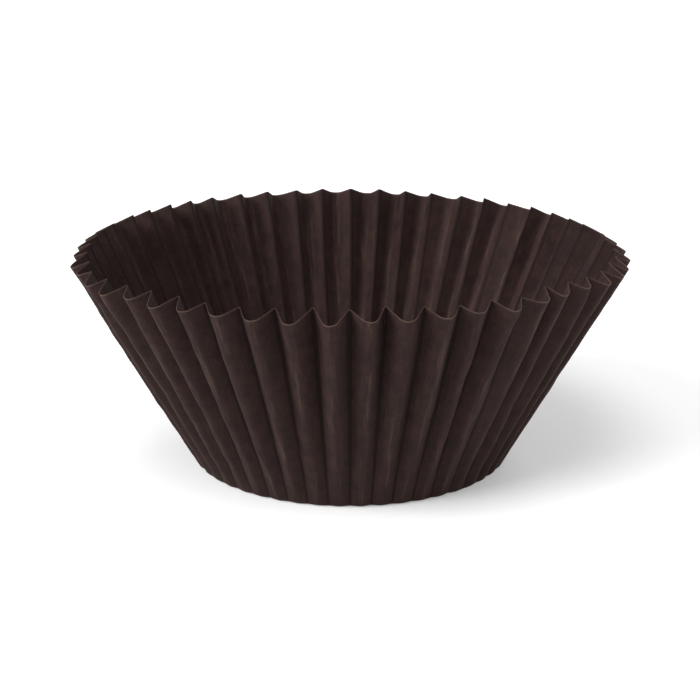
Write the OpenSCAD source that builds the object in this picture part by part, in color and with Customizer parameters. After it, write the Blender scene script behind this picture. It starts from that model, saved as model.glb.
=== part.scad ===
// Fluted paper cupcake liner, pressed in one piece from a flat round blank.
// The base stands on z = 0 with its centre at the origin, and the cup opens upwards.
// The paper keeps its length when it is pressed, so the depth of the flutes isn't a size
// of its own: at each distance from the centre, a ring of the blank is folded into a
// shorter ring of the wall, and the flutes take up the difference.

/* [Base] */
// Diameter of the base, where the wall's line meets the table
base_d = 51; // [40:1:60]
// Radius of the crease between the base and the wall
crease_r = 1; // [0.6:0.1:2]

/* [Wall] */
// Length of the wall along a crest, from the table to the rim
wall_l = 38; // [20:1:45]
// Lean of a crest outwards from upright, in degrees
wall_lean = 28; // [20:1:34]

/* [Flutes] */
// Number of flutes around the wall
flutes = 50; // [40:1:60]
// Part of each flute's width that is its rounded crest
crest_share = 0.4; // [0.2:0.05:0.6]
// Part of each flute's width that is its rounded valley
valley_share = 0.15; // [0.1:0.05:0.35]

/* [Paper] */
// Thickness of the paper
paper_t = 0.05; // [0.04:0.01:0.08]

/* [Hidden] */
paper_colour = "#30211d";

// The profile is the line of the crests: flat base, round crease, straight wall.
base_r = base_d / 2;
turn = 90 - wall_lean;
crease_cut = crease_r * tan(turn / 2);
flat_r = base_r - crease_cut;
crease_l = crease_r * turn * PI / 180;
crease_end = flat_r + crease_l;
blank_r = crease_end + wall_l - crease_cut;

// Rings of the mesh, as distances from the centre of the blank
crease_rings = 2;
wall_rings = 5;
wall_ring_power = 1.5;
rings = [
    flat_r,
    for (i = [1 : crease_rings]) flat_r + crease_l * i / crease_rings,
    for (i = [1 : wall_rings])
        crease_end + (blank_r - crease_end) * pow(i / wall_rings, wall_ring_power)
];

// Points across a crest, as shares of the angle of its flanks. A flute has 3 more: the
// middle of its valley and the foot of each flank.
crest_steps = [-1, -1 / 3, 1 / 3, 1];
flute_points = len(crest_steps) + 3;
ring_points = flutes * flute_points;
round_share = crest_share + valley_share;

// Direction of the profile at distance s along the paper: 0 lies flat, 90 is upright
function slope(s) = turn * min(max((s - flat_r) / crease_l, 0), 1);

// Point [radius, height] of the profile at distance s along the paper
function profile(s) =
    let (
        a = slope(s),
        past = max(s - crease_end, 0)
    )
    [
        min(s, flat_r) + crease_r * sin(a) + past * cos(a),
        crease_r * (1 - cos(a)) + past * sin(a)
    ];

// Depth of a flute whose flanks lie at angle a, as a share of its width
function depth_share(a) = (round_share * tan(a / 2) + (1 - round_share) * tan(a)) / 2;

// Length of the paper in such a flute, as a share of its width
function length_share(a) = round_share * a * PI / 180 / sin(a) + (1 - round_share) / cos(a);

// Width of such a flute at distance s, measured halfway down it, where the ring is
// smaller by half the depth
function width(a, s) =
    2 * PI * profile(s)[0] / (flutes + PI * sin(slope(s)) * depth_share(a));

// Angle of the flanks at which a flute holds its share of the blank's ring. It is
// searched between flat and folded shut, by halves.
function flank(s, low = 0, high = 90, tries = 24) =
    let (a = (low + high) / 2)
    s <= flat_r ? 0
    : tries == 0 ? a
    : width(a, s) * length_share(a) < 2 * PI * s / flutes ? flank(s, a, high, tries - 1)
    : flank(s, low, a, tries - 1);

// Point at share k of a round bend of width 1 and angle a: [place across, depth, tilt]
function bend(k, a) =
    a == 0 ? [k / 2, 0, 0] : [sin(k * a) / sin(a) / 2, (1 - cos(k * a)) / sin(a) / 2, k * a];

// Points of one flute of width 1 from valley to valley: [place across, depth, tilt]
function flute(a) =
    let (
        deepest = depth_share(a),
        flank_top = deepest - valley_share * tan(a / 2) / 2
    )
    [
        [-0.5, deepest, 0],
        [(valley_share - 1) / 2, flank_top, -a],
        for (k = crest_steps)
            let (q = bend(k, a)) [crest_share * q[0], crest_share * q[1], q[2]],
        [(1 - valley_share) / 2, flank_top, a]
    ];

// Ring of points at distance s along the paper, lying t inside the outer face
function ring(s, t) =
    let (
        at = profile(s),
        a = flank(s),
        w = width(a, s)
    )
    [
        for (i = [0 : flutes - 1], q = flute(a))
            let (
                inward = q[1] * w + t * cos(q[2]),
                r = at[0] - inward * sin(slope(s)),
                angle = (i + q[0]) * 360 / flutes - t * sin(q[2]) * 180 / (PI * r)
            )
            [r * cos(angle), r * sin(angle), at[1] + inward * cos(slope(s))]
    ];

// Triangles of the band between two rings that start at points a and b. The diagonal
// turns over at the middle of each flute, so that its two flanks mirror each other.
function band(a, b) = [
    for (i = [0 : ring_points - 1])
        let (
            j = (i + 1) % ring_points,
            left = i % flute_points < flute_points / 2
        )
        each left
            ? [[a + i, b + i, b + j], [a + i, b + j, a + j]]
            : [[a + i, b + i, a + j], [a + j, b + i, b + j]]
];

// The same triangles seen from behind
function turned(triangles) = [for (f = triangles) [f[2], f[1], f[0]]];

// The pleated wall: an outer skin and an inner skin, joined along the cut rim and along
// the edge of the base
module wall() {
    n = len(rings);
    inner = n * ring_points;
    rim = (n - 1) * ring_points;
    polyhedron(
        points = [
            for (s = rings) each ring(s, 0),
            for (s = rings) each ring(s, paper_t)
        ],
        faces = [
            for (k = [0 : n - 2]) each band(k * ring_points, (k + 1) * ring_points),
            for (k = [0 : n - 2])
                each turned(band(inner + k * ring_points, inner + (k + 1) * ring_points)),
            each band(rim, inner + rim),
            each turned(band(0, inner))
        ]
    );
}

// The flat disc that the flutes leave as it was
module base() {
    linear_extrude(paper_t) polygon([for (p = ring(flat_r, 0)) [p[0], p[1]]]);
}

module liner() {
    color(paper_colour) union() {
        wall();
        base();
    }
}

liner();
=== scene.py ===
"""A fluted paper cupcake liner: the pressed paper at full detail, on a plain white studio floor.

The paper is one disc. Each point of the mesh is first a place on the flat disc, given by its
distance s from the centre and by the fold that it lies in, and then a place on the pressed
cup. The paper keeps its length in this, as it does under the die, so the flutes grow deeper
towards the rim by themselves. The grain and the marks of the paper are drawn on the flat disc.
"""
import math
import bpy
import numpy as np
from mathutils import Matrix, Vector

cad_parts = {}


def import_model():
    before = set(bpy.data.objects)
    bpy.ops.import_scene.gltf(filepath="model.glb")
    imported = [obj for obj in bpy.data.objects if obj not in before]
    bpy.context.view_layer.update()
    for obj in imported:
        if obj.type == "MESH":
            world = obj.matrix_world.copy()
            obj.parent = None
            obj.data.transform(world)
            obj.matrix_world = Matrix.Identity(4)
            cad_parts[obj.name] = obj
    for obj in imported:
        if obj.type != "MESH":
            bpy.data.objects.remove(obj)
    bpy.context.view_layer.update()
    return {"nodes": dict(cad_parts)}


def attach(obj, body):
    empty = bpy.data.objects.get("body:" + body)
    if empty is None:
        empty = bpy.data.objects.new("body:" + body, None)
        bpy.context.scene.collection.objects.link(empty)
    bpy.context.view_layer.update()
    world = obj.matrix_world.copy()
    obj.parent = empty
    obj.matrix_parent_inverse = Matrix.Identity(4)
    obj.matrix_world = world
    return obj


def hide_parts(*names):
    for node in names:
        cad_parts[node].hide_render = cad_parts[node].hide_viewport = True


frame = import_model()

MM = 0.001

# Sizes that the CAD part is made from
FLUTES = 50
WALL_LEAN = math.radians(28)
CREASE_R = 1 * MM
PAPER_T = 0.05 * MM

# Rounded shares of a flute's width
CREST_SHARE = 0.42
VALLEY_SHARE = 0.06

# Unevenness of the pressing. What grows on its way up the wall is given at the rim.
SEED = 41
LEAN_WAVES = {2: 0.60, 3: 0.45, 5: 0.35, 8: 0.25}  # waves around the rim: degrees of lean
FOLD_WANDER = 0.14  # sideways, as a share of half a flute
FOLD_DEPTH = 0.20 * MM
TIP_BEND = 0.16 * MM  # in or out
CUT_OFFSET = 0.25 * MM  # the blank's centre from the die's centre

# Places on the way up the wall, where 0 is the crease and 1 is the rim: where the folds
# start to differ in depth, where they differ in full, and where their tips start to bend
FOLDS_ALIKE_TO = 0.02
FOLDS_DIFFER_FROM = 0.30
TIPS_FROM = 0.80

# Soft random relief of the paper itself, as waves across it. On the wall it grows to its
# full height over the first part above the crease.
COCKLE = 0.035 * MM
BASE_COCKLE = 2 * COCKLE
COCKLE_WAVES = 36
COCKLE_SHORTEST = 2.2 * MM
COCKLE_LONGEST = 9 * MM
COCKLE_SETS_IN = 6 * MM

# Base: height of its dome, and depth and length of the crimps at its edge
BASE_DOME = 0.30 * MM
BASE_CRIMP = 0.07 * MM
BASE_CRIMP_L = 3.2 * MM

# Small knocks on the crests: how many, how deep each is and how far it reaches up and down
# at most, the smallest shares of these, and the lower part of the wall that none starts in
KNOCKS = 18
KNOCK_DEPTH = 0.38 * MM
KNOCK_REACH = 3.5 * MM
SHALLOWEST_KNOCK = 0.3
SHORTEST_KNOCK = 0.6
KNOCKS_FROM = 0.3

# Points across each part of half a flute, from the crest to the valley
CREST_POINTS = 4
FLANK_POINTS = 3
VALLEY_POINTS = 2
HALF_POINTS = CREST_POINTS + FLANK_POINTS + VALLEY_POINTS
HALF_FLUTES = 2 * FLUTES
RING_POINTS = HALF_FLUTES * HALF_POINTS

# Rings of the mesh. The middle of the base takes coarse rings, with one point on each fold
# line. The rings on the wall lie closer together towards the base.
BASE_RINGS = [3 * MM, 6 * MM, 9 * MM, 12 * MM, 15 * MM, 17.5 * MM]
EDGE_RINGS = 7
CREASE_RINGS = 6
WALL_RINGS = 41
WALL_RING_POWER = 1.35

# The angle of a flank is searched between the first two, by halves, so many times
FLATTEST = 1e-5
STEEPEST = math.radians(75)
HALVINGS = 30

# A bend in the mesh is shaded as a sharp edge from this angle on
SHARP_ANGLE = math.radians(65)

# Distance from the outer skin's patterns to the inner skin's, so that the two differ
SKIN_PATTERN_GAP = 20 * MM

# Camera, as far from the liner and as high above it as in the photograph
CAMERA_BACK = 244 * MM
CAMERA_UP = 92 * MM
FIELD_OF_VIEW = math.radians(25)
NEAREST_SEEN = 10 * MM

# Round soft lamps: place in metres, diameter in metres and watts
LAMPS = {
    "key_light": ((-1.80, -1.00, 1.30), 1.7, 60),
    "side_light": ((1.60, -0.60, 1.00), 1.2, 4.5),
    "top_light": ((-0.30, -0.80, 2.10), 1.2, 20),
    "back_light": ((0.90, 1.90, 1.30), 1.4, 16),
}

# Light of the room on the liner, where 1 is white
ROOM_LIGHT = 0.37

# Floor, in metres: half its width, and from where to where its own light grows, since it has
# no shadow to keep far out
FLOOR_REACH = 8
FLOOR_NEAR = 0.25
FLOOR_FAR = 1.2

# Share of the light that the floor throws back, and its own light near and far
FLOOR_WHITE = 0.8
FLOOR_GLOW = 0.28
FLOOR_FAR_GLOW = 0.75

# Patterns of the paper: cells per metre, detail and roughness
CLOUDS = (420, 4, 0.62)
GRAIN = (1300, 3, 0.6)
STREAKS = (1500, 4, 0.7)
FLECKS = (2600, 2, 0.5)

# Fibres: detail, roughness and distortion, and for each layer of them the cells per metre,
# the direction in radians and how far they are drawn out
FIBRES = (3, 0.65, 0.2)
FIBRE_LAYERS = ((4200, 0.3, 9), (3600, 1.7, 7))

# How far the streaks are drawn out along the folds
STREAK_STRETCH = 12

# How the colours are laid over the paper: from one value of a pattern to another, and how
# much of the colour there is at the first and at the second
CLOUDS_SHOW = (0.32, 0.68, 0, 1)
FIBRES_SHOW = (0.53, 0.78, 0, 0.7)
FLECKS_SHOW = (0.60, 0.76, 0, 0.42)
STREAKS_SHOW = (0.50, 0.80, 0, 0.5)
# Painted highlight along the crests, laid on in streaks
CREST_HIGHLIGHT_STREAKS = (0.45, 0.75, 0, 0.35)

# The same by the place across a flute, where 0 is the crest and 1 is the valley
# Painted shade: the valleys of the wall are painted darker
VALLEY_SHADE = (0.78, 1, 0, 0.85)
# Painted highlight along the crests
CREST_HIGHLIGHT = (0, 0.10, 1, 0)
# Painted highlight along the cut edge, stronger on the crest tips than in the valleys, partly the
# edge's lighter fibres
EDGE_HIGHLIGHT = (0, 0.5, 0.75, 0.4)

# The same by the distance to the cut edge
AT_EDGE = (0, 0.3 * MM, 1, 0)

# Roughness in the same way: the paper's by its clouds, and what its fibres add
ROUGHNESS = (0.25, 0.80, 0.66, 0.80)
FIBRE_ROUGHNESS = (0.50, 0.90, 0, 0.12)

# How strongly the paper mirrors
SPECULAR = 0.1

# Relief of the paper: the height and the strength of each bump, and how strongly the
# streaks show beside the grain, and the flecks beside the fibres
WAVY_HEIGHT = 0.13 * MM
WAVY_STRENGTH = 0.5
STREAK_RELIEF = 0.6
FIBRE_HEIGHT = 0.07 * MM
FIBRE_STRENGTH = 0.45
FLECK_RELIEF = 0.5


def crest_rim(node):
    """Radius and height of the outermost point of the CAD liner: the top of a crest."""
    points = np.array([v.co for v in node.data.vertices])
    radius = np.hypot(points[:, 0], points[:, 1])
    outermost = radius.argmax()
    return radius[outermost], points[outermost, 2]


RIM_R, RIM_Z = crest_rim(frame["nodes"]["liner"])
BASE_R = RIM_R - RIM_Z * math.tan(WALL_LEAN)
TURN = math.pi / 2 - WALL_LEAN
CREASE_CUT = CREASE_R * math.tan(TURN / 2)
FLAT_R = BASE_R - CREASE_CUT
CREASE_END = FLAT_R + CREASE_R * TURN
WALL_L = RIM_Z / math.cos(WALL_LEAN) - CREASE_CUT
BLANK_R = CREASE_END + WALL_L
HALF_PITCH = math.pi / FLUTES


def smooth(x, low, high):
    """0 below low, 1 above high, and a soft step between them."""
    t = np.clip((x - low) / (high - low), 0, 1)
    return t * t * (3 - 2 * t)


def ring_distances():
    """Distance along the paper of each ring."""
    step = np.sqrt(np.arange(1, EDGE_RINGS + 1) / EDGE_RINGS)
    edge = BASE_RINGS[-1] + (FLAT_R - BASE_RINGS[-1]) * step
    crease = FLAT_R + (CREASE_END - FLAT_R) * np.arange(1, CREASE_RINGS + 1) / CREASE_RINGS
    wall_step = (np.arange(1, WALL_RINGS + 1) / WALL_RINGS) ** WALL_RING_POWER
    return np.concatenate([BASE_RINGS, edge, crease, CREASE_END + WALL_L * wall_step])


def slope(s):
    """Direction of the paper at distance s: 0 lies flat, and TURN is the wall's."""
    return TURN * np.clip((s - FLAT_R) / (CREASE_END - FLAT_R), 0, 1)


def profile(s):
    """Radius and height of the line of the crests at distance s along the paper."""
    a = slope(s)
    past = np.maximum(s - CREASE_END, 0)
    radius = np.minimum(s, FLAT_R) + CREASE_R * np.sin(a) + past * np.cos(a)
    height = CREASE_R * (1 - np.cos(a)) + past * np.sin(a)
    return radius, height


def flank_angles(s, half_angle):
    """Angle of the flank of each half flute, at which it holds its share of the paper, and
    the half flute's depth. s is a column, and half_angle has a row for each s."""
    radius = profile(s)[0]
    round_share = CREST_SHARE + VALLEY_SHARE
    paper = HALF_PITCH * s
    low = np.full(half_angle.shape, FLATTEST)
    high = np.full(half_angle.shape, STEEPEST)
    for _ in range(HALVINGS):
        a = (low + high) / 2
        deep = round_share * np.tan(a / 2) + (1 - round_share) * np.tan(a)
        width = half_angle * radius / (1 + half_angle * np.sin(slope(s)) / 2 * deep)
        length = width * (round_share * a / np.sin(a) + (1 - round_share) / np.cos(a))
        short = length < paper
        low = np.where(short, a, low)
        high = np.where(short, high, a)
    return a, width * deep


def half_flute(a):
    """Points of a half flute from its crest to just before its valley. Returns the place
    across, the depth and the paper's length so far, each as a share of the whole."""
    a = a[..., None]
    flank = 1 - CREST_SHARE - VALLEY_SHARE

    # Round crest
    k = np.arange(CREST_POINTS) / CREST_POINTS
    across = [CREST_SHARE * np.sin(k * a) / np.sin(a)]
    depth = [CREST_SHARE * (1 - np.cos(k * a)) / np.sin(a)]
    length = [CREST_SHARE * k * a / np.sin(a)]

    # Straight flank
    k = np.arange(FLANK_POINTS) / FLANK_POINTS
    crest_end = CREST_SHARE * np.tan(a / 2)
    across.append(CREST_SHARE + flank * k + 0 * a)
    depth.append(crest_end + flank * k * np.tan(a))
    length.append(CREST_SHARE * a / np.sin(a) + flank * k / np.cos(a))

    # Round valley, counted from its deepest point back to the flank
    k = 1 - np.arange(VALLEY_POINTS) / VALLEY_POINTS
    deepest = crest_end + flank * np.tan(a) + VALLEY_SHARE * np.tan(a / 2)
    longest = (CREST_SHARE + VALLEY_SHARE) * a / np.sin(a) + flank / np.cos(a)
    across.append(1 - VALLEY_SHARE * np.sin(k * a) / np.sin(a))
    depth.append(deepest - VALLEY_SHARE * (1 - np.cos(k * a)) / np.sin(a))
    length.append(longest - VALLEY_SHARE * k * a / np.sin(a))
    return (
        np.concatenate(across, -1),
        np.concatenate(depth, -1) / deepest,
        np.concatenate(length, -1) / longest,
    )


def mirrored(share):
    """The same half flute from its other end: 1 minus each share, in reversed order, where
    the point at the end that is left out there comes in here."""
    ends = np.concatenate([share[..., 1:], np.ones(share.shape[:-1] + (1,))], -1)
    return 1 - ends[..., ::-1]


def wander(random, rows):
    """A smooth random line along each fold, about as wide as 1 either way."""
    along = np.linspace(0, 1, rows)[:, None]
    total = np.zeros((rows, HALF_FLUTES))
    for wave in (1, 2):
        phase = random.uniform(0, 2 * math.pi, HALF_FLUTES)
        strength = random.normal(0, 1 / wave, HALF_FLUTES)
        total += strength * np.sin(math.pi * wave * along + phase)
    return total


def knocks(random, s):
    """Depth of the knocks on each fold line: a creased dent across a few of the crests."""
    total = np.zeros((len(s), HALF_FLUTES))
    for crest in random.choice(FLUTES, KNOCKS, replace=False) * 2:
        at = random.uniform(CREASE_END + KNOCKS_FROM * WALL_L, BLANK_R)
        reach = KNOCK_REACH * random.uniform(SHORTEST_KNOCK, 1)
        depth = KNOCK_DEPTH * random.uniform(SHALLOWEST_KNOCK, 1)
        total[:, crest] += depth * np.clip(1 - np.abs(s[:, 0] - at) / reach, 0, 1)
    return total


def cockle(random, x, y):
    """Relief of the paper itself at each place of the blank, about 1 high either way."""
    total = np.zeros(x.shape)
    for _ in range(COCKLE_WAVES):
        length = random.uniform(COCKLE_SHORTEST, COCKLE_LONGEST)
        turn = random.uniform(0, 2 * math.pi)
        phase = random.uniform(0, 2 * math.pi)
        total += np.sin(2 * math.pi * (x * math.cos(turn) + y * math.sin(turn)) / length + phase)
    return total / math.sqrt(COCKLE_WAVES / 2)


def fold_depths(random, s, share, deep):
    """How far inside the line of the crests each fold line lies. A valley takes the mean of
    the two half flutes beside it. share is 0 at the crease and 1 at the rim."""
    is_valley = np.arange(HALF_FLUTES) % 2
    depth = (deep + np.roll(deep, 1, axis=1)) / 2 * is_valley
    uneven = wander(random, len(s)) * FOLD_DEPTH * np.sqrt(share)
    depth += uneven * smooth(share, FOLDS_ALIKE_TO, FOLDS_DIFFER_FROM)
    depth += random.normal(0, TIP_BEND, HALF_FLUTES) * smooth(share, TIPS_FROM, 1)
    depth += knocks(random, s)
    return depth * (s > FLAT_R)


def fluted_paper(random, s, share):
    """The folded paper, ring by ring and point by point around each ring: its angle around
    the cup, how far inside the line of the crests it lies, its angle on the flat blank, and
    how far it is from crest (0) to valley (1)."""
    rows = len(s)

    # Each fold line, crest and valley in turn, wanders a little to the side on its way up.
    side = wander(random, rows) * FOLD_WANDER * HALF_PITCH
    line_angle = np.arange(HALF_FLUTES) * HALF_PITCH + side * share ** 0.7
    next_angle = np.roll(line_angle, -1, axis=1)
    next_angle[:, -1] += 2 * math.pi
    half_angle = next_angle - line_angle
    a, deep = flank_angles(s, half_angle)
    line_depth = fold_depths(random, s, share, deep)
    next_depth = np.roll(line_depth, -1, axis=1)

    # From a valley to a crest, the points of a half flute run backwards.
    from_valley = np.arange(HALF_FLUTES)[None, :, None] % 2 == 1
    across, depth, length = [
        np.where(from_valley, mirrored(part), part) for part in half_flute(a)
    ]
    theta = line_angle[..., None] + across * half_angle[..., None]
    inward = line_depth[..., None] + depth * (next_depth - line_depth)[..., None]
    blank_angle = (np.arange(HALF_FLUTES)[None, :, None] + length) * HALF_PITCH
    fold = np.where(from_valley, 1 - depth, depth)
    return [part.reshape(rows, RING_POINTS) for part in (theta, inward, blank_angle, fold)]


def extra_lean(random, theta):
    """The wall leans out a little more here and less there."""
    lean = np.zeros(theta.shape)
    for waves, degrees in LEAN_WAVES.items():
        phase = random.uniform(0, 2 * math.pi)
        lean += math.radians(degrees) * np.sin(waves * theta + phase)
    return lean


def base_relief(s, relief, fold):
    """Height of the base above its flat place: a low dome, the relief of the paper, lifted
    so that the edge stays the lowest part, and short crimps where the flutes begin."""
    on_base = np.clip(s / FLAT_R, 0, 1)
    dome = BASE_DOME * (1 - on_base ** 2) ** 1.5
    lifted = BASE_COCKLE * (relief + 2) * (1 - on_base ** 4)
    crimp_reach = smooth(s, FLAT_R - BASE_CRIMP_L, FLAT_R) * (1 - smooth(s, FLAT_R, CREASE_END))
    return (dome + lifted) * (s < FLAT_R) + BASE_CRIMP * fold * crimp_reach


def pressed_paper():
    """The outer face of the pressed paper. Returns for each ring and each place around it the
    point, its place on the flat blank, and how far it lies from crest (0) to valley (1)."""
    random = np.random.RandomState(SEED)
    s = ring_distances()[:, None]
    share = np.clip((s - FLAT_R) / (BLANK_R - FLAT_R), 0, 1)
    theta, inward, blank_angle, fold = fluted_paper(random, s, share)

    # The blank wasn't cut quite in the middle, so the wall is a little longer on one side.
    centre_angle = random.uniform(0, 2 * math.pi)
    s = s + CUT_OFFSET * np.cos(theta - centre_angle) * share ** 2
    radius, height = profile(s)
    inward = inward + extra_lean(random, theta) * np.maximum(s - CREASE_END, 0)

    # The paper itself isn't flat either, on the wall and on the base.
    x = s * np.cos(blank_angle)
    y = s * np.sin(blank_angle)
    relief = cockle(random, x, y)
    inward = inward + COCKLE * relief * smooth(s, FLAT_R, CREASE_END + COCKLE_SETS_IN)
    a = slope(s)
    radius = radius - inward * np.sin(a)
    height = height + inward * np.cos(a) + base_relief(s, relief, fold)
    points = np.stack([radius * np.cos(theta), radius * np.sin(theta), height], -1)
    return points, np.stack([x, y], -1), fold


def inner_normals(points):
    """Direction from the outer face to the inner face at each point of the grid."""
    along = np.gradient(points, axis=0)
    around = np.roll(points, -1, axis=1) - np.roll(points, 1, axis=1)
    normal = np.cross(along, around)
    return normal / np.linalg.norm(normal, axis=-1, keepdims=True)


def skin(grid, centre):
    """One row of values for each vertex of a skin: its centre, the coarse rings with a value
    at each fold line, and the fine rings."""
    width = grid.shape[-1]
    coarse = len(BASE_RINGS)
    return np.concatenate([
        np.reshape(centre, (1, width)),
        grid[:coarse, ::HALF_POINTS].reshape(-1, width),
        grid[coarse:].reshape(-1, width),
    ])


def two_triangles(a, b, c, d):
    return [[a, b, c], [a, c, d]]


def skin_triangles(rows):
    """Triangles of a skin, seen from the inside of the cup, and the indices of its last ring.
    Both skins use the same ones, so they can't cross where the paper is bent."""
    coarse = len(BASE_RINGS)
    fine_start = 1 + coarse * HALF_FLUTES
    middle = HALF_POINTS // 2
    triangles = []

    def ring(row, k):
        if row < coarse:
            return 1 + row * HALF_FLUTES + k % HALF_FLUTES
        return fine_start + (row - coarse) * RING_POINTS + k % RING_POINTS

    def band(row, k):
        return two_triangles(ring(row, k), ring(row + 1, k), ring(row + 1, k + 1), ring(row, k + 1))

    for k in range(HALF_FLUTES):
        triangles.append([0, ring(0, k), ring(0, k + 1)])
        for row in range(coarse - 1):
            triangles += band(row, k)

        # Between the last coarse ring and the first fine one, each point fans out.
        near = ring(coarse - 1, k)
        far = ring(coarse - 1, k + 1)
        outside = [ring(coarse, k * HALF_POINTS + step) for step in range(HALF_POINTS + 1)]
        triangles.append([near, outside[middle], far])
        for step in range(HALF_POINTS):
            corner = near if step < middle else far
            triangles.append([corner, outside[step], outside[step + 1]])
    for row in range(coarse, rows - 1):
        for k in range(RING_POINTS):
            triangles += band(row, k)
    return triangles, [ring(rows - 1, k) for k in range(RING_POINTS)]


def bake_map(mesh, flat, skin_size, rim_faces):
    """Lays the paper out flat on the UV map OFBake: the outer face as one disc, the inner face as
    another, and the cut edge as a thin band round the first. The map is 1 wide and 1 high."""
    disc_r = 0.28
    disc_at = 0.29
    band_in = 0.2815
    band_out = 0.2845
    place = flat / np.linalg.norm(flat, axis=1).max() * disc_r
    place[:skin_size] += disc_at
    place[skin_size:] += 1 - disc_at
    corner = np.zeros(len(mesh.loops), int)
    mesh.loops.foreach_get("vertex_index", corner)
    uv = place[corner]
    band = np.arange(len(corner)) >= len(corner) - 4 * rim_faces
    direction = flat / np.maximum(np.linalg.norm(flat, axis=1, keepdims=True), MM)
    reach = np.where(corner < skin_size, band_in, band_out)
    uv[band] = (direction[corner] * reach[:, None] + disc_at)[band]
    layer = mesh.uv_layers.new(name="OFBake")
    layer.uv.foreach_set("vector", uv.astype(np.float32).ravel())


def vector_attribute(mesh, name, values):
    made = mesh.attributes.new(name, "FLOAT_VECTOR", "POINT")
    made.data.foreach_set("vector", values.astype(np.float32).ravel())


def liner_mesh():
    """The whole sheet: outer skin, inner skin and cut edge. Two attributes go along for the
    material: each vertex's place on the flat paper, and its place on the cup, as how far it
    lies from crest (0) to valley (1) and how far from the cut edge."""
    outer, flat, fold = pressed_paper()
    inner = outer + PAPER_T * inner_normals(outer)
    bottom = outer[0, :, 2].mean()
    outer_skin = skin(outer, (0, 0, bottom))
    points = np.concatenate([outer_skin, skin(inner, (0, 0, bottom + PAPER_T))])
    size = len(outer_skin)
    flat = np.concatenate([skin(flat, (0, 0))] * 2)
    side = np.repeat([0, SKIN_PATTERN_GAP], size)[:, None]
    to_edge = BLANK_R - ring_distances()[:, None] + 0 * fold
    place = skin(np.stack([fold, to_edge, 0 * fold], -1), (0.5, BLANK_R, 0))

    inside, last = skin_triangles(len(outer))
    outside = [[c, b, a] for a, b, c in inside]
    inside = [[a + size, b + size, c + size] for a, b, c in inside]
    following = last[1:] + last[:1]
    rim = [[a, b, b + size, a + size] for a, b in zip(last, following)]
    mesh = bpy.data.meshes.new("liner_paper")
    mesh.from_pydata(points.tolist(), [], outside + inside + rim)
    mesh.shade_smooth()
    mesh.set_sharp_from_angle(angle=SHARP_ANGLE)
    vector_attribute(mesh, "on_paper", np.concatenate([flat, side], axis=1))
    vector_attribute(mesh, "on_cup", np.concatenate([place] * 2))
    bake_map(mesh, flat, size, len(rim))
    return mesh


def srgb(red, green, blue):
    """A colour given as in a picture, 0 to 255, as the linear colour that a shader takes."""
    def linear(value):
        value /= 255
        return value / 12.92 if value <= 0.04045 else ((value + 0.055) / 1.055) ** 2.4
    return (linear(red), linear(green), linear(blue), 1)


# Painted shade in the valleys of the wall
PAPER_VALLEY_SHADE = srgb(27, 18, 16)
PAPER_DARK = srgb(39, 27, 25)
PAPER_PLAIN = srgb(52, 37, 35)
PAPER_LIGHT = srgb(68, 52, 48)
# Painted highlight on the crests and along the cut edge
PAPER_HIGHLIGHT = srgb(99, 80, 72)
WHITE = (1, 1, 1, 1)


class Nodes:
    """Adds the nodes of one material or world, each with its links and values given by name."""

    def __init__(self, owner):
        owner.use_nodes = True
        self.tree = owner.node_tree
        self.tree.nodes.clear()

    def give(self, socket, value):
        """Links the socket to another node's output, or gives it a constant value."""
        if isinstance(value, bpy.types.NodeSocket):
            self.tree.links.new(value, socket)
        else:
            socket.default_value = value

    def add(self, kind, inputs=None, **settings):
        node = self.tree.nodes.new("ShaderNode" + kind)
        for name, value in settings.items():
            setattr(node, name, value)
        for name, value in (inputs or {}).items():
            self.give(node.inputs[name], value)
        return node

    def noise(self, at, scale, detail, roughness, distortion=0):
        values = {"Vector": at, "Scale": scale, "Detail": detail, "Roughness": roughness}
        values["Distortion"] = distortion
        return self.add("TexNoise", values).outputs["Fac"]

    def spread(self, value, low, high, to_low, to_high):
        """value from low to high, spread over to_low to to_high with soft ends."""
        values = {"Value": value, "From Min": low, "From Max": high}
        values["To Min"] = to_low
        values["To Max"] = to_high
        return self.add("MapRange", values, interpolation_type="SMOOTHSTEP").outputs["Result"]

    def math(self, operation, first, second):
        node = self.add("Math", operation=operation)
        self.give(node.inputs[0], first)
        self.give(node.inputs[1], second)
        return node.outputs["Value"]

    def mix(self, factor, first, second):
        """The first colour with a share of the second laid over it."""
        node = self.add("Mix", {0: factor}, data_type="RGBA")
        for socket, value in zip([i for i in node.inputs if i.type == "RGBA"], (first, second)):
            self.give(socket, value)
        return [o for o in node.outputs if o.type == "RGBA"][0]

    def attribute(self, name):
        return self.add("Attribute", attribute_name=name).outputs["Vector"]

    def turned(self, at, angle, stretch):
        """Coordinates turned about Z and then squeezed along X, so that a pattern made from
        them comes out stretched along X."""
        values = {"Vector": at, "Rotation": (0, 0, angle), "Scale": (1 / stretch, 1, 1)}
        return self.add("Mapping", values, vector_type="TEXTURE").outputs["Vector"]

    def along_folds(self, at):
        """Coordinates for a pattern that is drawn out along the folds: the direction from the
        middle of the paper, as a place on a ring of the wall's size, and the distance to it
        squeezed."""
        flat = self.add("VectorMath", {0: at, 1: (1, 1, 0)}, operation="MULTIPLY").outputs["Vector"]
        direction = self.add("VectorMath", {0: flat}, operation="NORMALIZE").outputs["Vector"]
        ring = self.add("VectorMath", {0: direction, "Scale": RIM_R}, operation="SCALE")
        away = self.add("VectorMath", {0: flat}, operation="LENGTH").outputs["Value"]
        split = self.add("SeparateXYZ", {"Vector": ring.outputs["Vector"]}).outputs
        squeezed = self.math("DIVIDE", away, STREAK_STRETCH)
        parts = {"X": split["X"], "Y": split["Y"], "Z": squeezed}
        return self.add("CombineXYZ", parts).outputs["Vector"]

    def background_ray(self):
        """1 for what the camera sees straight, in a reflection or through glass, and 0 for
        the light that falls on things."""
        ray = self.add("LightPath").outputs
        turned_ray = self.math("MAXIMUM", ray["Is Glossy Ray"], ray["Is Transmission Ray"])
        return self.math("MAXIMUM", ray["Is Camera Ray"], turned_ray)


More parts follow.
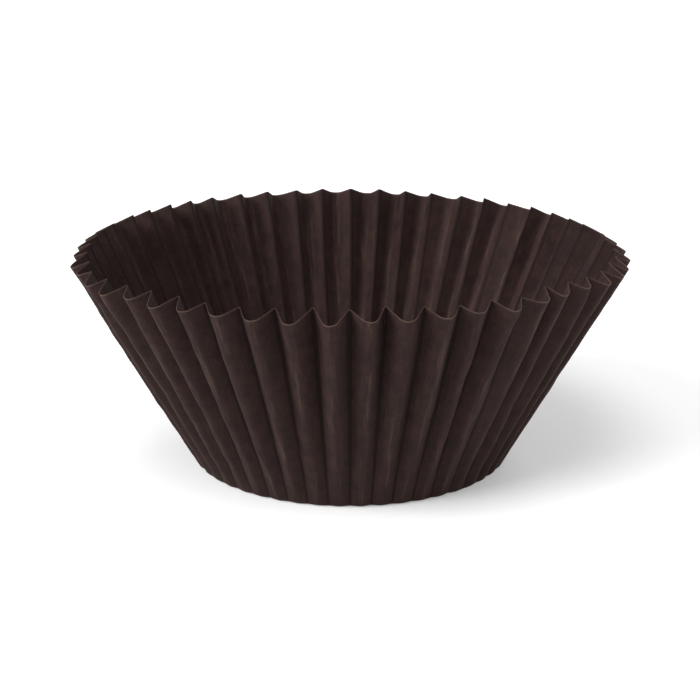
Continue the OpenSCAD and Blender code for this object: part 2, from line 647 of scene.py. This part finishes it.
def paper_marks(nodes):
    """The patterns that the paper's colour, shine and relief share, and where they lie on
    the cup: the fold, the distance to the cut edge, and 1 on the wall and 0 on the base."""
    at = nodes.attribute("on_paper")
    cup = nodes.add("SeparateXYZ", {"Vector": nodes.attribute("on_cup")}).outputs
    on_wall = nodes.spread(cup["Y"], WALL_L, WALL_L + BASE_CRIMP_L, 1, 0)
    streaks = nodes.noise(nodes.along_folds(at), *STREAKS)
    fibres = [
        nodes.noise(nodes.turned(at, angle, stretch), scale, *FIBRES)
        for scale, angle, stretch in FIBRE_LAYERS
    ]
    return {
        "clouds": nodes.noise(at, *CLOUDS),
        "grain": nodes.noise(at, *GRAIN),
        "flecks": nodes.noise(at, *FLECKS),
        "fibres": nodes.math("MAXIMUM", *fibres),
        "streaks": nodes.math("MULTIPLY", on_wall, streaks),
        "fold": cup["X"],
        "to_edge": cup["Y"],
        "on_wall": on_wall,
    }


def paper_tone(nodes, marks):
    """Cloudy brown with lighter fibres, flecks and streaks, painted shade in the valleys of the
    wall, a painted highlight in streaks along the crests, and a painted highlight along the cut
    edge that is strongest on the crest tips and partly the edge's lighter fibres."""
    fold = marks["fold"]
    streaks = marks["streaks"]
    tone = nodes.mix(nodes.spread(marks["clouds"], *CLOUDS_SHOW), PAPER_DARK, PAPER_PLAIN)
    tone = nodes.mix(nodes.spread(marks["fibres"], *FIBRES_SHOW), tone, PAPER_LIGHT)
    tone = nodes.mix(nodes.spread(marks["flecks"], *FLECKS_SHOW), tone, PAPER_LIGHT)
    tone = nodes.mix(nodes.spread(streaks, *STREAKS_SHOW), tone, PAPER_LIGHT)
    # Painted shade: the valleys of the wall are painted darker
    valley_shade = nodes.math("MULTIPLY", marks["on_wall"], nodes.spread(fold, *VALLEY_SHADE))
    tone = nodes.mix(valley_shade, tone, PAPER_VALLEY_SHADE)
    # Painted highlight in streaks along the crests
    on_crest = nodes.spread(fold, *CREST_HIGHLIGHT)
    crest_highlight = nodes.math("MULTIPLY", on_crest, nodes.spread(streaks, *CREST_HIGHLIGHT_STREAKS))
    tone = nodes.mix(crest_highlight, tone, PAPER_HIGHLIGHT)
    # Painted highlight along the cut edge, strongest on the crest tips, partly the edge's lighter
    # fibres
    at_edge = nodes.spread(marks["to_edge"], *AT_EDGE)
    edge_highlight = nodes.math("MULTIPLY", at_edge, nodes.spread(fold, *EDGE_HIGHLIGHT))
    return nodes.mix(edge_highlight, tone, PAPER_HIGHLIGHT)


def paper_roughness(nodes, marks):
    """A slight calendered shine, duller on the fibres."""
    roughness = nodes.spread(marks["clouds"], *ROUGHNESS)
    return nodes.math("ADD", roughness, nodes.spread(marks["fibres"], *FIBRE_ROUGHNESS))


def paper_relief(nodes, marks):
    """Soft waves of the pulp and the streaks, with the fibres and flecks on them."""
    streaks = nodes.math("MULTIPLY", marks["streaks"], STREAK_RELIEF)
    waves = nodes.math("ADD", marks["grain"], streaks)
    wavy = nodes.add("Bump", {"Height": waves, "Strength": WAVY_STRENGTH, "Distance": WAVY_HEIGHT})
    flecks = nodes.math("MULTIPLY", marks["flecks"], FLECK_RELIEF)
    fine = nodes.math("ADD", marks["fibres"], flecks)
    values = {"Height": fine, "Strength": FIBRE_STRENGTH, "Distance": FIBRE_HEIGHT}
    return nodes.add("Bump", {**values, "Normal": wavy.outputs["Normal"]}).outputs["Normal"]


def brown_paper():
    """Dyed greaseproof paper."""
    paper = bpy.data.materials.new("brown_paper")
    nodes = Nodes(paper)
    marks = paper_marks(nodes)
    shader = nodes.add("BsdfPrincipled", {
        "Base Color": paper_tone(nodes, marks),
        "Roughness": paper_roughness(nodes, marks),
        "Normal": paper_relief(nodes, marks),
        "Specular IOR Level": SPECULAR,
    })
    nodes.add("OutputMaterial", {"Surface": shader.outputs["BSDF"]})
    return paper


def white_floor():
    """A matt white floor that shows as plain white, apart from the liner's shadow."""
    white = bpy.data.materials.new("white_floor")
    nodes = Nodes(white)
    matt = nodes.add("BsdfDiffuse", {"Color": (FLOOR_WHITE, FLOOR_WHITE, FLOOR_WHITE, 1)})
    place = nodes.add("TexCoord").outputs["Object"]
    away = nodes.add("VectorMath", {0: place}, operation="LENGTH").outputs["Value"]
    glow = nodes.spread(away, FLOOR_NEAR, FLOOR_FAR, FLOOR_GLOW, FLOOR_FAR_GLOW)
    strength = nodes.math("MULTIPLY", nodes.background_ray(), glow)
    light = nodes.add("Emission", {"Color": WHITE, "Strength": strength})
    both = nodes.add("AddShader", {0: matt.outputs["BSDF"], 1: light.outputs["Emission"]})
    nodes.add("OutputMaterial", {"Surface": both.outputs["Shader"]})
    return white


def floor():
    reach = FLOOR_REACH
    corners = [(-reach, -reach, 0), (reach, -reach, 0), (reach, reach, 0), (-reach, reach, 0)]
    mesh = bpy.data.meshes.new("floor")
    mesh.from_pydata(corners, [], [(0, 1, 2, 3)])
    mesh.materials.append(white_floor())
    plane = bpy.data.objects.new("floor", mesh)
    bpy.context.scene.collection.objects.link(plane)


def liner():
    mesh = liner_mesh()
    mesh.materials.append(brown_paper())
    paper = bpy.data.objects.new("paper_liner", mesh)
    bpy.context.scene.collection.objects.link(paper)
    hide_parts("liner")
    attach(paper, "root")


def aim(thing, place):
    """Puts a camera or a lamp at a place and turns it to the middle of the liner."""
    thing.location = place
    thing.rotation_mode = "QUATERNION"
    target = Vector((0, 0, RIM_Z / 2))
    thing.rotation_quaternion = (target - Vector(place)).to_track_quat("-Z", "Y")


def softbox(name, place, diameter, watts):
    lamp = bpy.data.lights.new(name, "AREA")
    lamp.shape = "DISK"
    lamp.size = diameter
    lamp.energy = watts
    thing = bpy.data.objects.new(name, lamp)
    bpy.context.scene.collection.objects.link(thing)
    aim(thing, place)


def lights():
    for name, (place, diameter, watts) in LAMPS.items():
        softbox(name, place, diameter, watts)


def world():
    """An even pale room, seen as plain white."""
    room = bpy.data.worlds.new("room")
    nodes = Nodes(room)
    strength = nodes.math("MAXIMUM", nodes.background_ray(), ROOM_LIGHT)
    light = nodes.add("Background", {"Color": WHITE, "Strength": strength})
    nodes.add("OutputWorld", {"Surface": light.outputs["Background"]})
    bpy.context.scene.world = room


def camera():
    lens = bpy.data.cameras.new("camera")
    lens.angle = FIELD_OF_VIEW
    lens.clip_start = NEAREST_SEEN
    thing = bpy.data.objects.new("camera", lens)
    bpy.context.scene.collection.objects.link(thing)
    aim(thing, (0, -CAMERA_BACK, CAMERA_UP))
    bpy.context.scene.camera = thing


camera()
liner()
floor()
lights()
world()
bpy.context.scene.view_settings.view_transform = "Standard"
